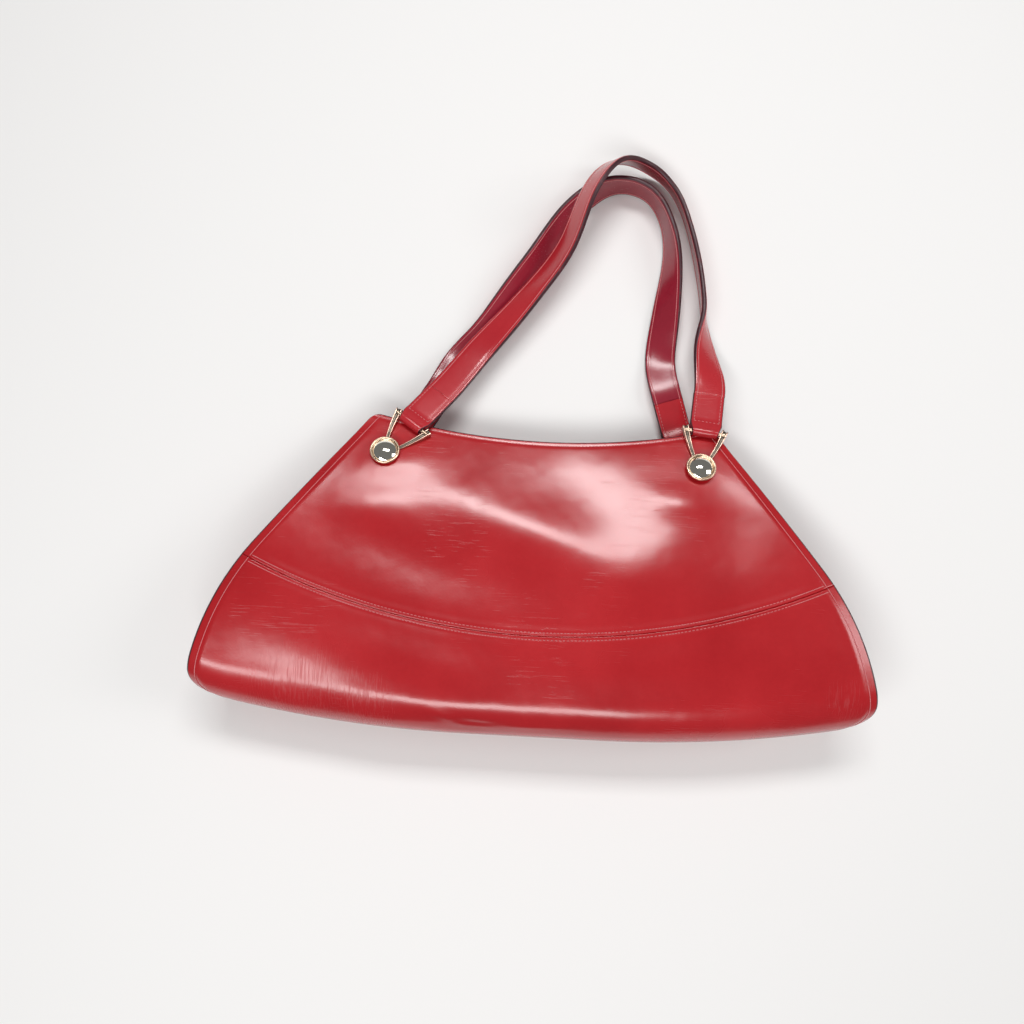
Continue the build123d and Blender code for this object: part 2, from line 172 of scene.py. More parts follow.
def resample(points, step=None, shares=None):
    """Points at even steps or at given shares of the length of a polyline."""
    points = np.asarray(points, float)
    along = lengths_along(points)
    if shares is None:
        shares = np.linspace(0, 1, max(2, int(round(along[-1] / step)) + 1))
    at = shares * along[-1]
    return np.stack([np.interp(at, along, points[:, k]) for k in range(points.shape[1])], axis=1)


def spacing(count, edge_low=0.0, edge_high=0.0, edge_count=10):
    """Shares from 0 to 1, closer together within edge_low of 0 and edge_high of 1."""
    parts = []
    if edge_low:
        parts.append(np.linspace(0, edge_low, edge_count, endpoint=False))
    parts.append(np.linspace(edge_low, 1 - edge_high, count, endpoint=not edge_high))
    if edge_high:
        parts.append(np.linspace(1 - edge_high, 1, edge_count + 1))
    return np.concatenate(parts)


def make_object(name, points, faces, materials, face_materials=None, smooth=True):
    mesh = bpy.data.meshes.new(name)
    mesh.from_pydata([tuple(p) for p in points], [], [tuple(f) for f in faces])
    for material in materials:
        mesh.materials.append(material)
    if face_materials is not None:
        mesh.polygons.foreach_set("material_index", np.asarray(face_materials, np.int32))
    mesh.polygons.foreach_set("use_smooth", np.full(len(mesh.polygons), smooth))
    mesh.update()
    obj = bpy.data.objects.new(name, mesh)
    bpy.context.scene.collection.objects.link(obj)
    return obj


def grid_normals(grid):
    du = np.gradient(grid, axis=1)
    dv = np.gradient(grid, axis=0)
    return unit(np.cross(du, dv))


def grid_faces(rows, columns, offset=0, flip=False):
    faces = []
    for i in range(rows - 1):
        for j in range(columns - 1):
            a = offset + i * columns + j
            quad = (a, a + 1, a + columns + 1, a + columns)
            faces.append(quad[::-1] if flip else quad)
    return faces


def tube_faces(rings, size, first=0):
    """Quads between closed rings of points that follow each other, from the point with index first."""
    faces = []
    for i in range(rings - 1):
        for j in range(size):
            a = first + i * size + j
            b = first + i * size + (j + 1) % size
            faces.append((a, b, b + size, a + size))
    return faces


def boundary_loop(rows, columns):
    """Indices round the edge of a grid, in order."""
    loop = [(0, j) for j in range(columns)]
    loop += [(i, columns - 1) for i in range(1, rows)]
    loop += [(rows - 1, j) for j in range(columns - 2, -1, -1)]
    loop += [(i, 0) for i in range(rows - 2, 0, -1)]
    return loop


def shell(name, grid, thickness, materials, round_by=0.4 * MM, folded=(), paint_and_shade_rows=0):
    """A closed sheet of leather whose outer side is the grid. Materials: outer, edge, inner.

    The rows in folded end in a turned edge, which shows the outer leather and no paint. The paint of the
    other edges runs over onto the outer side: one column at the sides, and the given number of rows at the
    ends.
    This dark run-over is partly real edge paint and partly painted shade of the gaps along the edges.
    """
    rows, columns = grid.shape[:2]
    normals = grid_normals(grid)
    outer = grid.copy()
    loop = boundary_loop(rows, columns)
    for i, j in loop:
        inner_i, inner_j = min(max(i, 1), rows - 2), min(max(j, 1), columns - 2)
        toward = grid[inner_i, inner_j] - grid[i, j]
        length = np.linalg.norm(toward)
        outer[i, j] = grid[i, j] + toward * min(0.45, round_by / max(length, 1e-9))
    inner = outer - normals * thickness
    for i, j in loop:
        outer[i, j] -= normals[i, j] * round_by * 0.35
        inner[i, j] += normals[i, j] * round_by * 0.35
    middle = np.array([grid[i, j] - normals[i, j] * thickness / 2 for i, j in loop])
    count = rows * columns
    points = np.concatenate([outer.reshape(-1, 3), inner.reshape(-1, 3), middle])
    faces = grid_faces(rows, columns) + grid_faces(rows, columns, count, flip=True)
    kinds = np.zeros((rows - 1, columns - 1), int)
    # dark run-over on the outer side: partly real edge paint, partly painted shade of the gaps along the
    # edges
    if paint_and_shade_rows:
        kinds[:, [0, -1]] = 1
        for end, band in ((0, kinds[:paint_and_shade_rows]), (rows - 1, kinds[-paint_and_shade_rows:])):
            band[:] = band if end in folded else 1
    kinds = list(kinds.ravel()) + [2] * (len(faces) // 2)
    for k in range(len(loop)):
        (i0, j0), (i1, j1) = loop[k], loop[(k + 1) % len(loop)]
        a, b = i0 * columns + j0, i1 * columns + j1
        m, n = 2 * count + k, 2 * count + (k + 1) % len(loop)
        faces.append((b, a, m, n))
        faces.append((n, m, a + count, b + count))
        kinds += [0, 0] if i0 == i1 and i0 in folded else [1, 1]
    return make_object(name, points, faces, materials, kinds)


def on_bag(obj, slot, *nodes):
    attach(obj, "bag")
    if nodes:
        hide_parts(*nodes)
    return obj


# ---- materials
class Nodes:
    """A short way to write a material's nodes."""

    def __init__(self, name):
        self.material = bpy.data.materials.new(name)
        self.material.use_nodes = True
        self.tree = self.material.node_tree
        self.shader = self.tree.nodes["Principled BSDF"]
        self.place = self.add("ShaderNodeTexCoord").outputs["Object"]

    def add(self, kind, **settings):
        node = self.tree.nodes.new(kind)
        for key, value in settings.items():
            setattr(node, key, value)
        return node

    def link(self, source, target):
        self.tree.links.new(source, target)

    def stretched(self, scale):
        node = self.add("ShaderNodeMapping")
        node.inputs["Scale"].default_value = scale
        self.link(self.place, node.inputs["Vector"])
        return node.outputs["Vector"]

    def noise(self, scale, detail=3.0, rough=0.5, vector=None):
        node = self.add("ShaderNodeTexNoise")
        node.inputs["Scale"].default_value = scale
        node.inputs["Detail"].default_value = detail
        node.inputs["Roughness"].default_value = rough
        self.link(vector or self.place, node.inputs["Vector"])
        return node.outputs["Fac"]

    def cells(self, scale):
        node = self.add("ShaderNodeTexVoronoi")
        node.inputs["Scale"].default_value = scale
        self.link(self.place, node.inputs["Vector"])
        return node.outputs["Distance"]

    def near(self, place, radius):
        """1 at a place given in mm, fading to 0 at a radius in mm."""
        node = self.add("ShaderNodeVectorMath", operation="DISTANCE")
        self.link(self.place, node.inputs[0])
        node.inputs[1].default_value = [v * MM for v in place]
        return self.remap(node.outputs["Value"], radius * 0.4 * MM, radius * MM, 1, 0)

    def remap(self, value, low, high, to_low, to_high):
        node = self.add("ShaderNodeMapRange", clamp=True)
        ends = {"From Min": low, "From Max": high, "To Min": to_low, "To Max": to_high}
        for key, number in ends.items():
            node.inputs[key].default_value = number
        self.link(value, node.inputs["Value"])
        return node.outputs["Result"]

    def math(self, operation, a, b):
        node = self.add("ShaderNodeMath", operation=operation)
        for socket, value in zip(node.inputs, (a, b)):
            if isinstance(value, (int, float)):
                socket.default_value = value
            else:
                self.link(value, socket)
        return node.outputs["Value"]

    def mix(self, factor, a, b):
        node = self.add("ShaderNodeMix", data_type="RGBA")
        self.link(factor, node.inputs["Factor"])
        for key, value in (("A", a), ("B", b)):
            socket = [s for s in node.inputs if s.name == key and s.type == "RGBA"][0]
            if isinstance(value, tuple):
                socket.default_value = (*value, 1)
            else:
                self.link(value, socket)
        return [s for s in node.outputs if s.type == "RGBA"][0]

    def bump(self, height, strength, distance, normal=None):
        node = self.add("ShaderNodeBump")
        node.inputs["Strength"].default_value = strength
        node.inputs["Distance"].default_value = distance
        self.link(height, node.inputs["Height"])
        if normal is not None:
            self.link(normal, node.inputs["Normal"])
        return node.outputs["Normal"]

    def set(self, **values):
        names = {"metallic": "Metallic", "roughness": "Roughness", "coat": "Coat Weight",
                 "coat_roughness": "Coat Roughness", "sheen": "Sheen Weight", "ior": "IOR",
                 "sheen_roughness": "Sheen Roughness"}
        for key, value in values.items():
            self.shader.inputs[names[key]].default_value = value

    def finish(self, color, roughness=None, normal=None):
        if isinstance(color, tuple):
            self.shader.inputs["Base Color"].default_value = (*color, 1)
        else:
            self.link(color, self.shader.inputs["Base Color"])
        if roughness is not None:
            self.link(roughness, self.shader.inputs["Roughness"])
        if normal is not None:
            self.link(normal, self.shader.inputs["Normal"])
        return self.material


def glossy_leather(name, dark, light, wave, marks=()):
    """Polished red leather: a fine grain, hairline scratches, rubbed patches and soft waves.

    Each of marks is a place where hairline scratches run up the leather, with its radius in mm.
    """
    n = Nodes(name)
    blotch = n.noise(14, 4, 0.55)
    fine = n.noise(420, 3, 0.6)
    tone = n.math("ADD", n.remap(blotch, 0.3, 0.7, 0, 0.8), n.remap(fine, 0.3, 0.7, 0, 0.2))
    color = n.mix(tone, dark, light)
    hair = n.noise(1, 2, 0.6, n.stretched((55, 1500, 700)))
    hair_mask = n.remap(n.noise(22, 3, 0.6), 0.52, 0.7, 0, 0.8)
    scratch = n.math("MULTIPLY", n.remap(hair, 0.6, 0.72, 0, 1), hair_mask)
    for place, radius in marks:
        lines = n.remap(n.noise(1, 2, 0.6, n.stretched((1300, 70, 300))), 0.52, 0.68, 0, 1)
        scratch = n.math("MAXIMUM", scratch, n.math("MULTIPLY", lines, n.near(place, radius)))
    rough = n.math("ADD", n.remap(blotch, 0.3, 0.75, 0.20, 0.30), n.math("MULTIPLY", scratch, 0.25))
    grain = n.bump(n.noise(1500, 2, 0.5), 0.10, 0.0002)
    pores = n.bump(n.cells(900), 0.06, 0.0002, grain)
    ridges = n.bump(scratch, 0.22, 0.0003, pores)
    swell = n.bump(n.noise(38, 2, 0.5), 0.14 * wave, 0.004, ridges)
    n.set(coat=0.35, coat_roughness=0.16)
    return n.finish(color, rough, swell)


def edge_paint(name):
    """Thick dark maroon paint on the cut edges, a little uneven and rubbed."""
    n = Nodes(name)
    rubbed = n.remap(n.noise(180, 3, 0.6), 0.55, 0.75, 0, 1)
    color = n.mix(rubbed, (0.045, 0.004, 0.010), (0.16, 0.012, 0.022))
    normal = n.bump(n.noise(600, 3, 0.6), 0.35, 0.0003)
    n.set(coat=0.2, coat_roughness=0.3)
    return n.finish(color, n.remap(n.noise(90), 0.3, 0.7, 0.35, 0.55), normal)


def thread(name, color, dark):
    """Twisted sewing thread."""
    n = Nodes(name)
    twist = n.noise(1, 2, 0.5, n.stretched((2600, 2600, 2600)))
    n.set(sheen=0.25, sheen_roughness=0.4)
    tint = n.mix(n.remap(twist, 0.35, 0.65, 0, 1), dark, color)
    return n.finish(tint, n.remap(twist, 0.3, 0.7, 0.5, 0.75), n.bump(twist, 0.4, 0.0001))


def woven(name, color, dark, threads=900):
    """Plain woven cloth."""
    n = Nodes(name)
    warp = n.add("ShaderNodeTexWave", bands_direction="X")
    weft = n.add("ShaderNodeTexWave", bands_direction="Y")
    for wave in (warp, weft):
        wave.inputs["Scale"].default_value = threads / 6
        wave.inputs["Distortion"].default_value = 0.6
        n.link(n.place, wave.inputs["Vector"])
    weave = n.math("MAXIMUM", warp.outputs["Fac"], weft.outputs["Fac"])
    n.set(sheen=0.3, sheen_roughness=0.5)
    tint = n.mix(n.math("MULTIPLY", weave, n.remap(n.noise(30), 0.3, 0.7, 0.7, 1)), dark, color)
    return n.finish(tint, n.remap(weave, 0, 1, 0.8, 0.6), n.bump(weave, 0.3, 0.0002))


def metal(name, color, dark, rough, tarnish=0.5, scale=160):
    """Plated metal with faint tarnish, fine wear and small dents. Scale is that of the tarnish."""
    n = Nodes(name)
    patina = n.remap(n.noise(scale, 4, 0.6), 0.45, 0.75, 0, tarnish)
    brushed = n.noise(1, 2, 0.5, n.stretched((300, 2200, 2200)))
    n.set(metallic=1.0)
    color = n.mix(patina, color, dark)
    fine = n.remap(brushed, 0.3, 0.7, rough, rough + 0.08)
    roughness = n.math("ADD", n.math("MULTIPLY", patina, 0.25), fine)
    normal = n.bump(n.noise(500, 2, 0.5), 0.08, 0.0002, n.bump(brushed, 0.04, 0.0001))
    return n.finish(color, roughness, normal)


RED = (0.36, 0.0070, 0.011)
RED_LIGHT = (0.47, 0.012, 0.017)
# places in mm on the roll where it is rubbed, each with a radius
SCRATCHED = (((-132, 20, 26), 34), ((-98, 16, 24), 24), ((178, 34, 26), 14))
leather = glossy_leather("red_glossy_leather", RED, RED_LIGHT, 1.0, SCRATCHED)
STRAP_RED = (0.40, 0.012, 0.020)
STRAP_RED_LIGHT = (0.50, 0.022, 0.030)
strap_leather = glossy_leather("red_strap_leather", STRAP_RED, STRAP_RED_LIGHT, 0.6)
LINING_RED = (0.24, 0.010, 0.024)
LINING_RED_LIGHT = (0.33, 0.016, 0.034)
strap_lining = glossy_leather("dark_red_lining_leather", LINING_RED, LINING_RED_LIGHT, 1.4)
paint = edge_paint("maroon_edge_paint")
pink_thread = thread("pink_thread", (0.72, 0.24, 0.25), (0.46, 0.09, 0.10))
lining_cloth = woven("dark_lining_cloth", (0.10, 0.02, 0.03), (0.04, 0.008, 0.012))
tape_cloth = woven("zip_tape_cloth", (0.30, 0.015, 0.03), (0.14, 0.008, 0.015), 1500)
pale_gold = metal("pale_gold_plating", (0.74, 0.55, 0.40), (0.26, 0.17, 0.11), rough=0.24)
mirror = metal("mirror_polish", (0.93, 0.90, 0.80), (0.6, 0.55, 0.42), rough=0.03, tarnish=0.12)
rose_gold = metal("rose_gold_plating", (0.62, 0.43, 0.34), (0.24, 0.15, 0.10), rough=0.28, tarnish=0.6)
# the yokes' grooves: near-black metal, painted shade and painted dark reflection inside the groove
groove_shade_metal = metal("groove_painted_shade", (0.12, 0.10, 0.08), (0.03, 0.026, 0.02), rough=0.32, tarnish=0.8)
zip_metal = metal("zip_metal", (0.80, 0.68, 0.48), (0.3, 0.22, 0.12), rough=0.22, scale=400)


def board_material():
    """Grey-brown pressed fibre board."""
    n = Nodes("fibre_board")
    fibre = n.noise(300, 5, 0.7)
    color = n.mix(n.remap(fibre, 0.3, 0.7, 0, 1), (0.28, 0.23, 0.17), (0.42, 0.36, 0.28))
    return n.finish(color, n.remap(fibre, 0.3, 0.7, 0.8, 0.95), n.bump(fibre, 0.3, 0.0004))


# ---- outline and walls
SIDE_JOINT = SIDE_C + SIDE_R * np.array((math.cos(SIDE_LEAN), math.sin(SIDE_LEAN)))
SIDE_RUN = np.array((-math.sin(SIDE_LEAN), math.cos(SIDE_LEAN)))
TOP_CORNER = SIDE_JOINT + SIDE_RUN * (TOP_CORNER_Y - SIDE_JOINT[1]) / SIDE_RUN[1]
TOP_R = (TOP_CORNER[0] ** 2 + (TOP_CORNER[1] - TOP_DIP) ** 2) / (2 * (TOP_CORNER[1] - TOP_DIP))
SEAM_R = (SEAM_END[0] ** 2 + (SEAM_END[1] - SEAM_MID_Y) ** 2) / (2 * (SEAM_END[1] - SEAM_MID_Y))
BOW_C = np.array((BASE_FLAT_HALF, BOW_R))


def crossing(low_centre, low_radius, high_centre, high_radius):
    """The right-hand point where two circles cross."""
    apart = np.linalg.norm(high_centre - low_centre)
    u = (high_centre - low_centre) / apart
    along = (low_radius**2 - high_radius**2 + apart**2) / (2 * apart)
    return low_centre + along * u + math.sqrt(low_radius**2 - along**2) * np.array((u[1], -u[0]))


CORNER_C = crossing(SIDE_C, SIDE_R - BASE_CORNER_R, BOW_C, BOW_R + BASE_CLEARANCE - BASE_CORNER_R)
CORNER_JOIN = SIDE_C + (CORNER_C - SIDE_C) * SIDE_R / (SIDE_R - BASE_CORNER_R)


def wall_radius(change):
    return ((MOUTH_Y - ROLL_R) ** 2 + change**2) / (2 * change)


FRONT_R = wall_radius(FRONT_DROP)
BACK_R = wall_radius(BACK_RISE)


def front_z(y):
    return HALF_DEPTH - FRONT_R + np.sqrt(FRONT_R**2 - (y - ROLL_R) ** 2)


def back_z(y):
    return GROUND + BACK_R - np.sqrt(BACK_R**2 - (y - ROLL_R) ** 2)


def section_height(x, y):
    """How far up the bag's cross-section a point lies that is at x, y seen from the front."""
    return BOW_R - np.hypot(np.maximum(np.abs(x) - BASE_FLAT_HALF, 0), BOW_R - y)


def bow_y(x, height):
    """The y of a point at x on the bowed line that lies at one height of the cross-section."""
    return BOW_R - np.sqrt((BOW_R - height) ** 2 - np.maximum(np.abs(x) - BASE_FLAT_HALF, 0) ** 2)


def half_width(y):
    """Half the bag's width at y: a straight upper part, a round lower part and a base corner."""
    y = np.asarray(y, float)
    straight = SIDE_JOINT[0] - (y - SIDE_JOINT[1]) * math.tan(SIDE_LEAN)
    side = SIDE_C[0] + np.sqrt(np.maximum(SIDE_R**2 - (y - SIDE_C[1]) ** 2, 0))
    corner = CORNER_C[0] + np.sqrt(np.maximum(BASE_CORNER_R**2 - (y - CORNER_C[1]) ** 2, 0))
    return np.where(y > SIDE_JOINT[1], straight, np.where(y > CORNER_JOIN[1], side, corner))


def row_end(height):
    """Half the length of the bowed line at one height of the cross-section."""
    height = np.asarray(height, float)
    low, high = np.full(height.shape, 60 * MM), np.full(height.shape, 205 * MM)
    for _ in range(40):
        middle = (low + high) / 2
        inside = half_width(bow_y(middle, height)) > middle
        low, high = np.where(inside, middle, low), np.where(inside, high, middle)
    return low


def seam_y(x):
    return SEAM_MID_Y + SEAM_R - np.sqrt(SEAM_R**2 - x**2)


def top_y(x):
    return TOP_DIP + TOP_R - np.sqrt(TOP_R**2 - x**2)


def seam_end():
    """Where the seam meets the side edge, on the right."""
    y = SEAM_END[1]
    for _ in range(40):
        y = float(seam_y(half_width(y)))
    return float(half_width(y)), y


def mouth_corner():
    """The round top corner on the right: points from the side edge to the mouth's edge."""
    top_c = np.array((0, TOP_DIP + TOP_R))
    side_normal = np.array((math.cos(SIDE_LEAN), math.sin(SIDE_LEAN)))
    start = SIDE_JOINT - TOP_CORNER_R * side_normal - top_c
    reach = (start @ SIDE_RUN) ** 2 - start @ start + (TOP_R + TOP_CORNER_R) ** 2
    centre = top_c + start - SIDE_RUN * (start @ SIDE_RUN + math.sqrt(reach))
    toward_top = top_c - centre
    angles = np.linspace(SIDE_LEAN, math.atan2(toward_top[1], toward_top[0]), 13)
    return centre + TOP_CORNER_R * coordinates(np.cos(angles), np.sin(angles))


MOUTH_CORNER = mouth_corner()
SEAM_X, SEAM_SIDE_Y = seam_end()


def coons(bottom, top, left, right):
    """A grid between four boundary curves, each an array of points."""
    steps = np.linalg.norm(np.diff(left, axis=0), axis=1)
    v = (np.concatenate([[0], np.cumsum(steps)]) / steps.sum())[:, None, None]
    steps = np.linalg.norm(np.diff(bottom, axis=0), axis=1)
    u = (np.concatenate([[0], np.cumsum(steps)]) / steps.sum())[None, :, None]
    ruled_v = (1 - v) * bottom[None] + v * top[None]
    ruled_u = (1 - u) * left[:, None] + u * right[:, None]
    corners = (1 - v) * ((1 - u) * bottom[0] + u * bottom[-1]) + v * ((1 - u) * top[0] + u * top[-1])
    return ruled_v + ruled_u - corners


def mirrored(points):
    """The same curve on the left side."""
    return points * np.array([-1, 1])


ACROSS = spacing(120, 0.035, 0.035, 12)


def upper_plan():
    """The upper panel seen from the front: rows from the seam to the mouth."""
    half = len(MOUTH_CORNER) // 2
    y = np.linspace(SEAM_SIDE_Y, MOUTH_CORNER[0, 1], 60)
    right = np.concatenate([coordinates(half_width(y), y), MOUTH_CORNER[1 : half + 1]])
    x = np.linspace(-MOUTH_CORNER[-1, 0], MOUTH_CORNER[-1, 0], 160)
    middle = coordinates(x, top_y(x))
    top = np.concatenate([mirrored(MOUTH_CORNER[half:-1]), middle, MOUTH_CORNER[-2 : half - 1 : -1]])
    x = np.linspace(-SEAM_X, SEAM_X, 200)
    bottom = coordinates(x, seam_y(x))
    rows = spacing(56, 0.07, 0.08, 16)
    right = resample(right, shares=rows)
    return coons(resample(bottom, shares=ACROSS), resample(top, shares=ACROSS), mirrored(right), right)


def lower_plan():
    """The front of the lower panel: rows from the seam down to where the roll starts."""
    edge = float(row_end(ROLL_R))
    y = np.linspace(SEAM_SIDE_Y, bow_y(edge, ROLL_R), 60)
    right = resample(coordinates(half_width(y), y), shares=spacing(26, 0.12, 0, 16))
    x = np.linspace(-SEAM_X, SEAM_X, 200)
    top = coordinates(x, seam_y(x))
    x = np.linspace(-edge, edge, 200)
    bottom = coordinates(x, bow_y(x, ROLL_R))
    return coons(resample(top, shares=ACROSS), resample(bottom, shares=ACROSS), mirrored(right), right)


def seam_distance(x, y):
    """Distance from the curved seam, along the leather."""
    return np.abs(SEAM_R - np.hypot(x, y - SEAM_MID_Y - SEAM_R))


def seam_relief(x, y):
    """The folded seam allowance lifts the leather on both sides, and the stitches pull it in."""
    d = seam_distance(x, y)
    fade = 1 - smoothstep(SEAM_X - 24 * MM, SEAM_X - 7 * MM, np.abs(x))
    lift = 0.32 * MM * (1 - smoothstep(1.5 * MM, 7 * MM, d))
    pull = 0.16 * MM * np.exp(-(((d - SEAM_STITCH) / (0.7 * MM)) ** 2))
    return fade * (lift - pull)


def edge_relief(inside):
    """The sewn flange along the side edges: the leather dips at the stitches and bends down."""
    pull = 0.22 * MM * np.exp(-(((inside - SIDE_STITCH) / (1.5 * MM)) ** 2))
    pinch = 1.8 * MM * (1 - smoothstep(0, 9 * MM, inside))
    return -pull - pinch


SAG_FADE = 25 * MM  # next to the side edges the sag fades out over this width
# Each soft rise or hollow of the leather: how far it stands out in mm, its centre, its reach along
# and across in mm, and its turn in degrees.
FRONT_SAG = [
    (2.4, (-10, 122), (56, 17), -24),
    (1.3, (60, 100), (34, 20), 28),
    (-1.7, (26, 146), (30, 20), -34),
    (-2, (-62, 98), (58, 17), -14),
    (1.2, (-100, 128), (26, 14), 12),
    (-1.5, (112, 120), (22, 26), 24),
    (1.1, (-88, 158), (24, 10), 16),
    (1.3, (84, 142), (18, 10), -10),
    (-1.5, (-70, 44), (52, 13), -10),
    (1.2, (70, 44), (80, 14), 5),
    (-2.4, (-138, 18), (44, 20), -9),
    (0.9, (-92, 4), (20, 9), -14),
    (-0.8, (-34, 3), (22, 5), -6),
    (0.7, (-46, 10), (10, 2.4), -28),
    (-0.8, (-30, 8), (18, 1.8), -5),
    (0.6, (-8, 7), (22, 2), 2),
    (-0.9, (150, 14), (22, 12), 10),
]
# The back is flattened by the ground, with a shallow hollow in the middle.
BACK_SAG = [
    (-1.2, (0, 106), (90, 34), 0),
    (-0.8, (-70, 56), (50, 20), 10),
]


def sag(bumps, x, y):
    """How far the leather stands out from its plain wall. On the roll, y goes on along the leather."""
    return sum(rise * MM * bump_at(x, y, centre, reach, turn) for rise, centre, reach, turn in bumps)


def wall_z(face, x, y):
    """The outer side of a wall, with its sag but without the seams."""
    height = section_height(x, y)
    fade = smoothstep(0, SAG_FADE, half_width(np.clip(y, 0, MOUTH_CORNER[0, 1])) - np.abs(x))
    if face == "front":
        return front_z(height) + sag(FRONT_SAG, x, height) * fade
    return back_z(height) - sag(BACK_SAG, x, height) * fade


def wall_grid(plan, face):
    """A plan put onto the front or the back wall, with its relief."""
    x, y = plan[..., 0], plan[..., 1]
    inside = half_width(np.clip(y, 0, MOUTH_CORNER[0, 1])) - np.abs(x)
    relief = seam_relief(x, y) + edge_relief(np.maximum(inside, 0)) * smoothstep(0, 20 * MM, top_y(x) - y)
    relief -= 0.2 * MM * np.exp(-(((top_y(x) - y - TOP_STITCH) / (1.0 * MM)) ** 2))
    relief *= 1 if face == "front" else -1
    return coordinates(x, y, wall_z(face, x, y) + relief)


def roll_grid(columns):
    """The rolled bottom between the front and the back wall, bowed with the base."""
    quarter = np.linspace(0, math.pi / 2, 24)[1:]
    stations = [(turn, 1) for turn in quarter]
    stations += [(math.pi / 2, level) for level in (0.5, 0, -0.5)]
    stations += [(turn, -1) for turn in quarter[::-1]]
    rows = []
    for turn, level in stations:
        height = ROLL_R - ROLL_R * math.sin(turn)
        x = (2 * columns - 1) * float(row_end(height))
        y = bow_y(x, height)
        inside = np.maximum(half_width(y) - np.abs(x), 0)
        relief = edge_relief(inside)
        if level > 0:
            fullness = sag(FRONT_SAG, x, ROLL_R - ROLL_R * turn) * smoothstep(0, SAG_FADE, inside)
            relief = relief + fullness * math.cos(turn)
        z = FLAT_HALF * level + np.sign(level) * (ROLL_R + relief) * math.cos(turn)
        slope = np.sign(x) * np.maximum(np.abs(x) - BASE_FLAT_HALF, 0) / (BOW_R - height)
        down = relief * math.sin(turn)
        rows.append(coordinates(x + slope * down, y - np.sqrt(1 - slope**2) * down, z))
    return np.array(rows)


def build_walls():
    """The three leather panels. Returns the outer grid of each, for the stitching."""
    upper = upper_plan()
    lower = lower_plan()
    front = wall_grid(upper, "front")
    back = wall_grid(upper, "back")[:, ::-1]
    wrap_front = wall_grid(lower, "front")
    wrap_back = wall_grid(lower, "back")
    wrap = np.concatenate([wrap_front, roll_grid(ACROSS), wrap_back[::-1]])
    wrap = wrap[:, ::-1]
    for name, grid, folded in (("front_upper", front, (0,)), ("back_upper", back, (0,)),
                               ("lower_wrap", wrap, (0, len(wrap) - 1))):
        kinds = [leather, paint, strap_lining]
        # two rows of dark run-over at the ends: partly edge paint, partly painted shade of the gaps
        panel = shell(f"{name}_leather", grid, LEATHER, kinds, 0.6 * MM, folded, paint_and_shade_rows=2)
        on_bag(panel, "bag_leather", f"{name}_panel")
    return front, back, wrap


# ---- stitching
STITCH_PITCH = 2.3 * MM
STITCH_LENGTH = 1.75 * MM
STITCH_R = 0.25 * MM


def stitch_row(line, normals):
    """Small arched stitches along a line on the leather, each a closed lozenge of thread."""
    path = resample(np.concatenate([line, normals], axis=1), step=STITCH_PITCH / 2)
    points, faces = [], []
    rings, sides = 5, 6
    for k in range(1, len(path) - 1, 2):
        centre, normal = path[k, :3], unit(path[k, 3:])
        along = unit(path[k + 1, :3] - path[k - 1, :3])
        across = np.cross(normal, along)
        first = len(points)
        for t in np.linspace(-1, 1, rings):
            arch = 0.20 * MM * (1 - t * t) - 0.10 * MM
            radius = STITCH_R * math.sqrt(1 - 0.82 * t * t)
            middle = centre + along * t * STITCH_LENGTH / 2 + normal * arch
            for a in np.linspace(0, 2 * math.pi, sides, endpoint=False):
                points.append(middle + (across * math.cos(a) + normal * math.sin(a)) * radius)
        faces += tube_faces(rings, sides, first)
        faces.append(tuple(range(first + sides - 1, first - 1, -1)))
        faces.append(tuple(range(len(points) - sides, len(points))))
    return points, faces


def stitches(name, rows):
    """One mesh of thread from several rows."""
    points, faces = [], []
    for line, normals in rows:
        row_points, row_faces = stitch_row(np.asarray(line), np.asarray(normals))
        faces += [tuple(i + len(points) for i in f) for f in row_faces]
        points += row_points
    return make_object(name, points, faces, [pink_thread])


def row_beside(grid, side, distance, trim):
    """A line on a grid at a set distance from one of its four sides, with its normals.

    Trim is the first and the last share of the line that is kept.
    """
    if side in ("left", "right"):
        lines, normals = grid, grid_normals(grid)
    else:
        lines, normals = grid.transpose(1, 0, 2), grid_normals(grid).transpose(1, 0, 2)
    if side in ("right", "top"):
        lines, normals = lines[:, ::-1], normals[:, ::-1]
    found, out = [], []
    for line, normal in zip(lines, normals):
        along = lengths_along(line)
        found.append([np.interp(distance, along, line[:, k]) for k in range(3)])
        out.append([np.interp(distance, along, normal[:, k]) for k in range(3)])
    low, high = (int(round(t * (len(found) - 1))) for t in trim)
    return np.array(found)[low : high + 1], np.array(out)[low : high + 1]


def build_panel_stitches(front, back, wrap):
    seam_trim, side_trim = (0.05, 0.95), (0.03, 0.98)
    for face, upper, wrap_side in (("front", front, "bottom"), ("back", back, "top")):
        rows = [
            row_beside(upper, "bottom", SEAM_STITCH, seam_trim),
            row_beside(wrap, wrap_side, SEAM_STITCH, seam_trim),
        ]
        on_bag(stitches(f"{face}_seam_stitches", rows), "strap_lining")
        rows = [row_beside(upper, "top", TOP_STITCH, (0.05, 0.95))]
        rows += [row_beside(upper, side, SIDE_STITCH, side_trim) for side in ("left", "right")]
        on_bag(stitches(f"{face}_edge_stitches", rows), "strap_lining")
    rows = [row_beside(wrap, side, SIDE_STITCH, (0.01, 0.99)) for side in ("left", "right")]
    on_bag(stitches("wrap_edge_stitches", rows), "strap_lining")


# ---- gussets, mouth and inside
def inner_z(face, height):
    """The inside of the front or the back wall and its half of the roll."""
    radius = ROLL_R - LEATHER
    roll = FLAT_HALF + np.sqrt(np.maximum(radius**2 - (ROLL_R - height) ** 2, 0))
    if face == "front":
        return np.where(height < ROLL_R, roll, front_z(height) - LEATHER)
    return np.where(height < ROLL_R, -roll, back_z(height) + LEATHER)


def pleat_depth(height):
    """How far the middle of a gusset folds inwards."""
    return (3 * MM + 9 * MM * smoothstep(20 * MM, 180 * MM, height)) * smoothstep(2 * MM, 40 * MM, height)


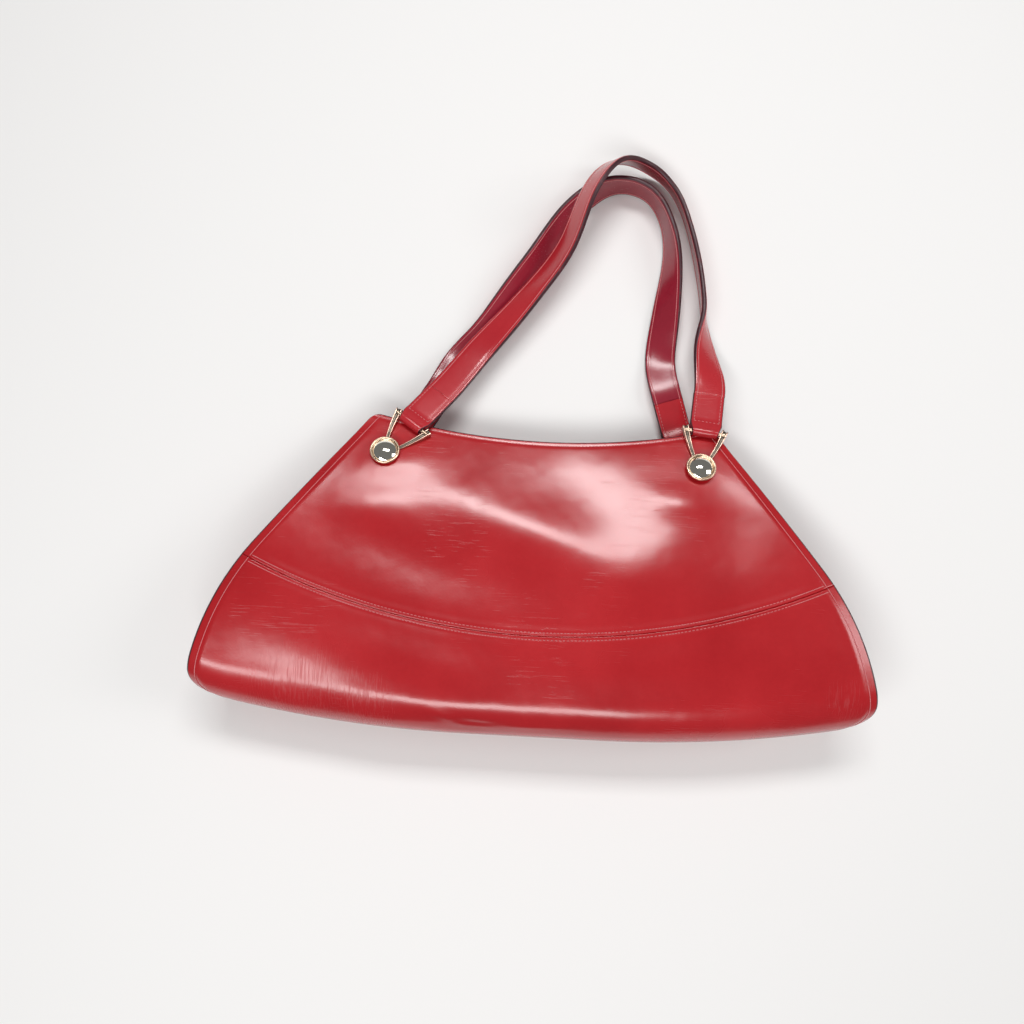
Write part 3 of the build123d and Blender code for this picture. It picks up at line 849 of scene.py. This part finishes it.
def build_gusset(hand):
    """The side of the bag: flanges under both panels' edges and a pleat that folds inwards."""
    thick = 1.0 * MM
    height = np.concatenate([np.linspace(1.8, 30, 26), np.linspace(31, 177, 56)]) * MM
    width = row_end(height)
    near_wall = thick + 0.3 * MM
    front, back = inner_z("front", height) - near_wall, inner_z("back", height) + near_wall
    fold = pleat_depth(height)
    pinch = 1.6 * MM * smoothstep(4 * MM, 30 * MM, height)
    flange = ((1.2, 1.0), (3.6, 0.8), (6.0, 0.5), (8.6, 0.25))
    path = [(width - x_in * MM, front - pinch * drop) for x_in, drop in flange]
    for t in np.linspace(0, 1, 15):
        pleat = fold * (1 - abs(2 * t - 1) ** 1.6)
        path.append((width - 9.6 * MM - pleat, front + (back - front) * smoothstep(-0.04, 1.04, t)))
    path += [(width - x_in * MM, back + pinch * drop) for x_in, drop in flange[::-1]]
    grid = np.stack([coordinates(x, bow_y(x, height), z) for x, z in path], axis=1)
    side = "right" if hand > 0 else "left"
    if hand > 0:
        grid = grid[:, ::-1]
    grid[..., 0] *= hand
    kinds = [leather, paint, strap_lining]
    on_bag(shell(f"{side}_gusset_leather", grid, thick, kinds, 0.25 * MM), "bag_leather", f"{side}_gusset")


def facing_grid(face):
    """The leather strip that faces the inside of the mouth."""
    depth, columns = 34 * MM, 70
    u = np.linspace(-1, 1, columns)
    rows = []
    for v in np.linspace(0, 1, 24):
        y = np.full(columns, TOP_DIP - depth * (1 - v))
        for _ in range(20):
            x = u * (half_width(y) - 9.5 * MM - 3 * MM * v**4)
            y = top_y(x) - 0.5 * MM - depth * (1 - v)
        gap = LEATHER + 0.4 * MM
        rows.append(coordinates(x, y, wall_z(face, x, y) - (gap if face == "front" else -gap)))
    return np.array(rows)


def build_mouth():
    """Both facings, and the cloth tapes of the zip that is sewn between them."""
    for face in ("front", "back"):
        grid = facing_grid(face)
        if face == "back":
            grid = grid[:, ::-1]
        facing = shell(f"{face}_mouth_facing_leather", grid, 1.1 * MM, [strap_lining] * 3, 0.25 * MM)
        on_bag(facing, "strap_lining", f"{face}_mouth_facing")
        low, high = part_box(f"zip_tape_{face}")
        x, z = np.meshgrid(np.linspace(low.x, high.x, 90), np.linspace(low.z, high.z, 9))
        droop = 0.25 * MM * np.sin(math.pi * (z - low.z) / (high.z - low.z)) ** 3
        grid = coordinates(x, high.y - droop, z)[::-1]
        tape = shell(f"zip_tape_{face}_cloth", grid, 0.6 * MM, [tape_cloth] * 3, 0.15 * MM)
        on_bag(tape, "zip_tape", f"zip_tape_{face}")


def build_lining():
    """The sewn lining: a sack that hangs inside, with soft creases and a closed base."""
    inset, thick = 5.6 * MM, 0.6 * MM
    turn = np.linspace(0, 2 * math.pi, 121)
    c, s = np.cos(turn), np.sin(turn)
    rows = []
    for height in np.concatenate([np.linspace(148, 30, 30), np.linspace(26, 6, 8)]) * MM:
        front, back = inner_z("front", height) - inset, inner_z("back", height) + inset
        reach = float(row_end(height)) - 14 * MM - pleat_depth(height)
        x = reach * np.sign(c) * np.abs(c) ** 0.35
        crease = 0.7 * MM * np.sin(turn * 9 + height * 55) * s
        z = (front + back) / 2 + (front - back) / 2 * np.sign(s) * np.abs(s) ** 0.6 - crease
        rows.append(coordinates(x, bow_y(x, height), z))
    last = rows[-1]
    for share in (0.6, 0.3, 0.04):
        x = last[:, 0] * (0.97 + 0.03 * share)
        rows.append(coordinates(x, bow_y(x, 5.2 * MM), last[:, 2] * share))
    lining = shell("lining_sack", np.array(rows), thick, [lining_cloth] * 3, 0.1 * MM)
    on_bag(lining, "lining_fabric", "lining")


# ---- handles
class Place:
    """The frame of a stud. Turned, its Y axis runs along the middle of the yoke."""

    def __init__(self, face, side, turned=True):
        joint = [j for j in frame["joints"] if j["name"] == f"{face}_{side}_yoke_swivel"][0]
        self.origin = np.array(joint["pos_m"])
        z = unit(joint["axis"])
        y = unit(np.cross(z, (1, 0, 0) if face == "front" else (-1, 0, 0)))
        x = np.cross(y, z)
        angle = math.radians(YOKE_LEAN[face, side]) * (1 if face == "back" else -1) * turned
        c, s = math.cos(angle), math.sin(angle)
        self.axes = np.array([x * c + y * s, y * c - x * s, z])

    def at(self, points):
        return np.asarray(points) @ self.axes + self.origin


def natural_spline(points, count):
    """Places and directions on a smooth curve through the points, and the shares of both along it."""
    points = np.asarray(points)
    knots = lengths_along(points)
    h = np.diff(knots)
    n = len(points)
    system, right = np.eye(n), np.zeros((n, 3))
    for i in range(1, n - 1):
        system[i, i - 1 : i + 2] = h[i - 1], 2 * (h[i - 1] + h[i]), h[i]
        right[i] = 6 * ((points[i + 1] - points[i]) / h[i] - (points[i] - points[i - 1]) / h[i - 1])
    bend = np.linalg.solve(system, right)
    at = np.linspace(0, knots[-1], count)
    k = np.clip(np.searchsorted(knots, at, side="right") - 1, 0, n - 2)
    a, b = (knots[k + 1] - at)[:, None], (at - knots[k])[:, None]
    step = h[k][:, None]
    chord = (points[k + 1] / step - bend[k + 1] * step / 6) * b
    chord += (points[k] / step - bend[k] * step / 6) * a
    place = chord + (bend[k] * a**3 + bend[k + 1] * b**3) / (6 * step)
    slope = (points[k + 1] - points[k]) / step - (bend[k + 1] - bend[k]) * step / 6
    slope += (bend[k + 1] * b**2 - bend[k] * a**2) / (2 * step)
    return place, unit(slope), at / knots[-1], knots / knots[-1]


def strap_frames(face, route, count=420):
    """A handle's middle line: places, directions and the direction of the strap's width."""
    left, right = Place(face, "left"), Place(face, "right")
    points = [left.at((0, r, BAR_Z)) for r in (STRAP_START_R, STRAP_LEAD_R)]
    for x, y, lift, twist in route:
        angle = math.radians(twist)
        rest = abs(math.sin(angle)) * STRAP_W / 2 + abs(math.cos(angle)) * STRAP_T / 2
        points.append(np.array((x * MM, y * MM, GROUND + lift * MM + rest)))
    points += [right.at((0, r, BAR_Z)) for r in (STRAP_LEAD_R, STRAP_START_R)]
    widths = [left.axes[0]] * 2
    for index, (_, _, _, twist) in enumerate(route):
        along = unit(points[index + 3] - points[index + 1])
        inward = unit(np.cross(along, (0, 0, 1)))
        up = np.cross(inward, along)
        angle = math.radians(twist)
        widths.append(inward * math.cos(angle) + up * math.sin(angle))
    widths += [-right.axes[0]] * 2
    place, along, share, knots = natural_spline(points, count)
    width = np.stack([np.interp(share, knots, np.array(widths)[:, k]) for k in range(3)], axis=1)
    kernel = np.hanning(25)
    padded = np.concatenate([[width[0]] * 12, width, [width[-1]] * 12])
    width = np.stack([np.convolve(padded[:, k], kernel / kernel.sum(), "valid") for k in range(3)], axis=1)
    width = unit(width - along * (width * along).sum(1, keepdims=True))
    return place, along, width


def strap_section(half, thick):
    """A strap's cross-section with rounded painted edges: points and which leather each side shows."""
    edge = 0.5 * MM
    k = np.linspace(1, -1, 19)
    crown = 0.10 * MM * (1 - k**2) - 0.16 * MM * np.exp(-(((np.abs(k) - 0.78) / 0.07) ** 2))
    top = coordinates(k * (half - edge), thick / 2 - 0.12 * MM * np.abs(k) ** 8 + crown)
    side = thick / 2 - edge
    right = [(half - 0.15 * MM, -side), (half, 0), (half - 0.15 * MM, side)]
    left = [(-x, -z) for x, z in right]
    ring = np.concatenate([right, top, left, -top])
    kinds = [1] * 3 + [0] * 18 + [1] * 4 + [2] * 18 + [1]
    return ring, kinds


def sweep(name, place, along, width, ring_at, kinds, materials):
    """A closed strap along frames. ring_at gives the cross-section at each station."""
    points = []
    out = np.cross(width, along)
    size = len(kinds)
    for i in range(len(place)):
        ring = ring_at(i)
        points += list(place[i] + ring[:, :1] * width[i] + ring[:, 1:] * out[i])
    faces = [(a, d, c, b) for a, b, c, d in tube_faces(len(place), size)]
    faces.append(tuple(range(size)))
    faces.append(tuple(range(len(points) - 1, len(points) - 1 - size, -1)))
    return make_object(name, points, faces, materials, kinds * (len(place) - 1) + [1, 1])


def build_handle(face, route):
    """One handle from its left strap end to its right one."""
    place, along, width = strap_frames(face, route)
    clear = np.ones(len(place), bool)
    for side in ("left", "right"):
        yoke = Place(face, side)
        radial = (place - yoke.origin) @ yoke.axes[1]
        near = np.linalg.norm(place - yoke.origin, axis=1) < 70 * MM
        clear &= ~(near & (radial < END_R))
    place, along, width = place[clear], along[clear], width[clear]
    out = np.cross(width, along)
    ring, kinds = strap_section(STRAP_W / 2, STRAP_T)
    strap = sweep(f"{face}_handle_strap", place, along, width, lambda i: ring, kinds,
                  [strap_leather, paint, strap_lining])
    rows = []
    for hand in (-1, 1):
        for up in (-1, 1):
            offset = width * hand * (STRAP_W / 2 - STRAP_STITCH) + out * up * (STRAP_T / 2 - 0.12 * MM)
            rows.append((place + offset, out * up))
    thread_rows = stitches(f"{face}_handle_stitches", rows)
    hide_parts(f"{face}_handle_outer", f"{face}_handle_lining")
    for piece in (strap, thread_rows):
        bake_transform(piece)


def strap_end_line():
    """The folded strap end in the yoke's own YZ plane: over the bar and back under itself."""
    layer = STRAP_T / 4
    angles = np.radians(np.linspace(60, 300, 23))
    arc = coordinates(BAR_Y + FOLD_R * np.cos(angles), FOLD_R * np.sin(angles))
    y = np.linspace(END_R + 2 * MM, LAYERS_MEET, 22)
    top = coordinates(y, layer)
    neck_y = np.linspace(LAYERS_MEET, arc[0, 0], 9)[1:-1]
    neck = coordinates(neck_y, layer + (arc[0, 1] - layer) * smoothstep(LAYERS_MEET, arc[0, 0], neck_y))
    under = np.concatenate([neck, [arc[0]]])[::-1] * (1, -1)
    return np.concatenate([top, neck, arc, under[1:], top[::-1] * (1, -1)])


def build_strap_end(face, side):
    """The strap end folded over its bar, set at its yoke's turn."""
    place = Place(face, side)
    line = strap_end_line()
    slope = unit(np.gradient(line, axis=0))
    half = np.interp(line[:, 0], *STRAP_END_TAPER)
    points = place.at(coordinates(0, line[:, 0], line[:, 1] + BAR_Z))
    along = coordinates(0, slope[:, 0], slope[:, 1]) @ place.axes
    across = np.repeat(-place.axes[:1], len(line), axis=0)
    thick = STRAP_T / 2 - 0.04 * MM
    rings = [strap_section(h, thick) for h in half]
    kinds = rings[0][1]
    end = sweep(f"{face}_{side}_strap_end_leather", points, along, across, lambda i: rings[i][0], kinds,
                [strap_leather, paint, strap_leather])
    rows = []
    for up in (-1, 1):
        x = np.linspace(-8.2, 8.2, 12) * MM
        cross = coordinates(x, CROSS_STITCH, BAR_Z + up * (STRAP_T / 2 + 0.3 * MM))
        rows.append((place.at(cross), np.repeat(up * place.axes[2:], 12, axis=0)))
        for hand in (-1, 1):
            y = np.linspace(CROSS_STITCH, END_R + 1 * MM, 12)
            swell = 0.35 * MM * (1 - smoothstep(CROSS_STITCH, LAYERS_MEET, y))
            z = BAR_Z + up * (STRAP_T / 2 - 0.1 * MM + swell)
            line = coordinates(hand * (STRAP_W / 2 - STRAP_STITCH), y, z)
            rows.append((place.at(line), np.repeat(up * place.axes[2:], 12, axis=0)))
    thread_rows = stitches(f"{face}_{side}_strap_end_stitches", rows)
    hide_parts(f"{face}_{side}_strap_end")
    for piece in (end, thread_rows):
        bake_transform(piece)


# ---- metal
def lathe(name, profile, place, material, sides=72):
    """A closed turned piece about a place's Z axis. The profile is (radius, height) points."""
    points, faces = [], []
    rows = len(profile)
    for a in np.linspace(0, 2 * math.pi, sides, endpoint=False):
        c, s = math.cos(a), math.sin(a)
        points += [place.at((r * c, r * s, z)) for r, z in profile]
    for j in range(sides):
        for i in range(rows - 1):
            a, b = j * rows + i, (j + 1) % sides * rows + i
            faces.append((a, b, b + 1, a + 1))
    top, bottom = len(points), len(points) + 1
    points += [place.at((0, 0, profile[-1][1])), place.at((0, 0, profile[0][1]))]
    for j in range(sides):
        a, b = j * rows, (j + 1) % sides * rows
        faces.append((a + rows - 1, b + rows - 1, top))
        faces.append((b, a, bottom))
    return make_object(name, points, faces, [material])


def in_mm(pairs):
    return [(r * MM, z * MM) for r, z in pairs]


# the stud, in mm
POST_R = 3.0
RIM_R = 9.0
BEAD_R = 0.67
BEAD_Z = 3.55
DOME_R = 7.3
DOME_RISE = 2.6
DOME_Z = 3.3


def build_stud(face, side):
    """The mirror dome in its rim, which is one piece with the post."""
    place = Place(face, side, turned=False)
    ball = (DOME_R**2 + DOME_RISE**2) / (2 * DOME_RISE)
    ball_z = DOME_Z + DOME_RISE - ball
    cap = [(r, ball_z + math.sqrt(ball**2 - r * r)) for r in np.linspace(DOME_R - 0.05, 0.15, 30)]
    dome_profile = [(DOME_R - 0.5, DOME_Z - 0.08), (DOME_R, DOME_Z - 0.05)] + cap
    dome = lathe(f"{face}_{side}_mirror_dome", in_mm(dome_profile), place, mirror)
    turn = np.linspace(0, math.pi, 13)
    bead = [(RIM_R - BEAD_R * (1 - math.cos(a)), BEAD_Z + BEAD_R * math.sin(a)) for a in turn]
    rim_profile = [(POST_R, -5.5), (POST_R, 2.4), (RIM_R - 0.6, 2.4), (RIM_R - 0.15, 2.55), (RIM_R, 2.9)]
    rim_profile += bead + [(7.62, 3.2), (0.2, 3.2)]
    rim = lathe(f"{face}_{side}_gilt_rim", in_mm(rim_profile), place, pale_gold)
    on_bag(dome, "mirror_gilt", f"{face}_{side}_stud_dome")
    on_bag(rim, "pale_gold", f"{face}_{side}_stud_rim")


ARM_ROOT = np.array((3.6, 4.6))
ARM_TIP = np.array((12.3, 27.0))
# the groove's faces, which take the near-black metal of painted shade and reflection
CHANNEL_FACES = (3, 4, 5)


def arm_rings():
    """Cross-sections of a yoke's arm, a channel that widens to a square-cut tip, in mm."""
    run = unit(ARM_TIP - ARM_ROOT)
    side = np.array((run[1], -run[0]))
    for t in np.linspace(0, 1, 13):
        centre = ARM_ROOT + (ARM_TIP - ARM_ROOT) * t + side * 0.6 * math.sin(math.pi * t)
        half, low, high = 0.9 + 1.05 * t**1.2, 0.3 + 0.2 * t, 1.7 + 2.6 * t
        lip, deep = 0.42 * half, 0.25 + 0.75 * t
        ring = [(-half, low), (half, low), (half, high), (half - lip, high),
                (half - lip - 0.1, high - deep), (-half + lip + 0.1, high - deep),
                (-half + lip, high), (-half, high)]
        yield [(*(centre + side * across), z) for across, z in ring]


def apply_modifiers(obj):
    """Replace an object's mesh by its mesh with every modifier applied."""
    bpy.context.view_layer.update()
    graph = bpy.context.evaluated_depsgraph_get()
    mesh = bpy.data.meshes.new_from_object(obj.evaluated_get(graph))
    obj.modifiers.clear()
    obj.data = mesh


def build_yoke(face, side):
    """The eye round the post with its two arms, softened along every edge."""
    place = Place(face, side)
    points, faces, kinds = [], [], []
    eye = [(3.1, 0.3), (6.2, 0.3), (6.4, 0.5), (6.4, 1.5), (6.2, 1.7), (3.1, 1.7)]
    sides, rows = 48, len(eye)
    for a in np.linspace(0, 2 * math.pi, sides, endpoint=False):
        points += [(r * math.cos(a), r * math.sin(a), z) for r, z in eye]
    for j in range(sides):
        near, far = j * rows, (j + 1) % sides * rows
        for i in range(rows):
            k = (i + 1) % rows
            faces.append((near + i, far + i, far + k, near + k))
            kinds.append(0)
    rings = list(arm_rings())
    size = len(rings[0])
    for hand in (-1, 1):
        first = len(points)
        points += [(hand * x, y, z) for ring in rings for x, y, z in ring]
        arm = tube_faces(len(rings), size, first)
        kinds += [1 if k % size in CHANNEL_FACES else 0 for k in range(len(arm))] + [0, 0]
        arm.append(tuple(range(first + size - 1, first - 1, -1)))
        arm.append(tuple(range(len(points) - size, len(points))))
        faces += arm if hand > 0 else [corners[::-1] for corners in arm]
    placed = place.at(np.array(points) * MM)
    yoke = make_object(f"{face}_{side}_yoke_metal", placed, faces, [rose_gold, groove_shade_metal], kinds)
    bevel = yoke.modifiers.new("soften", "BEVEL")
    bevel.width = 0.14 * MM
    bevel.segments = 2
    bevel.limit_method = "ANGLE"
    bevel.angle_limit = math.radians(35)
    apply_modifiers(yoke)
    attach(yoke, f"{face}_{side}_yoke_set")
    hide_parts(f"{face}_{side}_yoke")


def finish_cad_metal():
    """Materials for the CAD nodes whose shape stays as it is."""
    board = board_material()
    looks = {"_bar": pale_gold, "stud_nuts": pale_gold, "zip_": zip_metal, "base_board": board,
             "seam_tape": tape_cloth}
    for name, obj in frame["nodes"].items():
        for key, material in looks.items():
            if key in name and not name.startswith("zip_tape"):
                obj.data.materials.clear()
                obj.data.materials.append(material)


# ---- stage, light and camera
CAMERA_LOOK = Vector((-0.017, 0.134, GROUND + 0.02))
CAMERA_HEIGHT = 0.48
CAMERA_TILT = 5.0
CAMERA_ROLL = 3.1
CAMERA_LENS = 27.0


def build_camera():
    """The photo's view: nearly straight down, half a metre above the bag."""
    tilt, roll = math.radians(CAMERA_TILT), math.radians(CAMERA_ROLL)
    back = Vector((0, -math.sin(tilt), math.cos(tilt)))
    up = Vector((0, math.cos(tilt), math.sin(tilt)))
    right = Vector((1, 0, 0))
    r = right * math.cos(roll) + up * math.sin(roll)
    u = -right * math.sin(roll) + up * math.cos(roll)
    data = bpy.data.cameras.new("camera")
    data.lens = CAMERA_LENS
    data.sensor_width = 36
    camera = bpy.data.objects.new("camera", data)
    matrix = Matrix((r, u, back)).transposed().to_4x4()
    matrix.translation = CAMERA_LOOK + back * CAMERA_HEIGHT
    camera.matrix_world = matrix
    bpy.context.scene.collection.objects.link(camera)
    bpy.context.scene.camera = camera
    bpy.context.scene.view_settings.view_transform = "Standard"


def build_floor():
    n = Nodes("pale_floor")
    n.set(roughness=0.9)
    size = 3.0
    corners = [(x * size, y * size, GROUND) for x, y in ((-1, -1), (1, -1), (1, 1), (-1, 1))]
    pale = n.finish((0.86, 0.85, 0.84))
    make_object("floor", corners, [(0, 1, 2, 3)], [pale], smooth=False)


def area_light(name, place, target, size, power):
    data = bpy.data.lights.new(name, "AREA")
    data.shape = "RECTANGLE"
    data.size, data.size_y = size
    data.energy = power
    light = bpy.data.objects.new(name, data)
    light.location = place
    light.rotation_euler = (Vector(target) - Vector(place)).to_track_quat("-Z", "Y").to_euler()
    bpy.context.scene.collection.objects.link(light)


def build_light():
    world = bpy.data.worlds.new("studio")
    bpy.context.scene.world = world
    world.use_nodes = True
    background = world.node_tree.nodes["Background"]
    background.inputs["Color"].default_value = (1, 1, 1, 1)
    background.inputs["Strength"].default_value = 0.16
    area_light("key", (-0.25, -0.46, 1.05), (0, 0.05, 0), (1.2, 0.24), 9)
    area_light("top", (0.0, 0.86, 1.05), (0, 0.12, 0), (0.7, 0.22), 8)
    area_light("side", (1.1, 0.3, 0.8), (0, 0.12, 0), (0.4, 0.6), 4)


front_grid, back_grid, wrap_grid = build_walls()
build_panel_stitches(front_grid, back_grid, wrap_grid)
for hand in (-1, 1):
    build_gusset(hand)
build_mouth()
build_lining()
for face, route in (("front", FRONT_ROUTE), ("back", BACK_ROUTE)):
    build_handle(face, route)
    for side in ("left", "right"):
        build_strap_end(face, side)
        build_stud(face, side)
        build_yoke(face, side)
finish_cad_metal()
build_floor()
build_light()
build_camera()
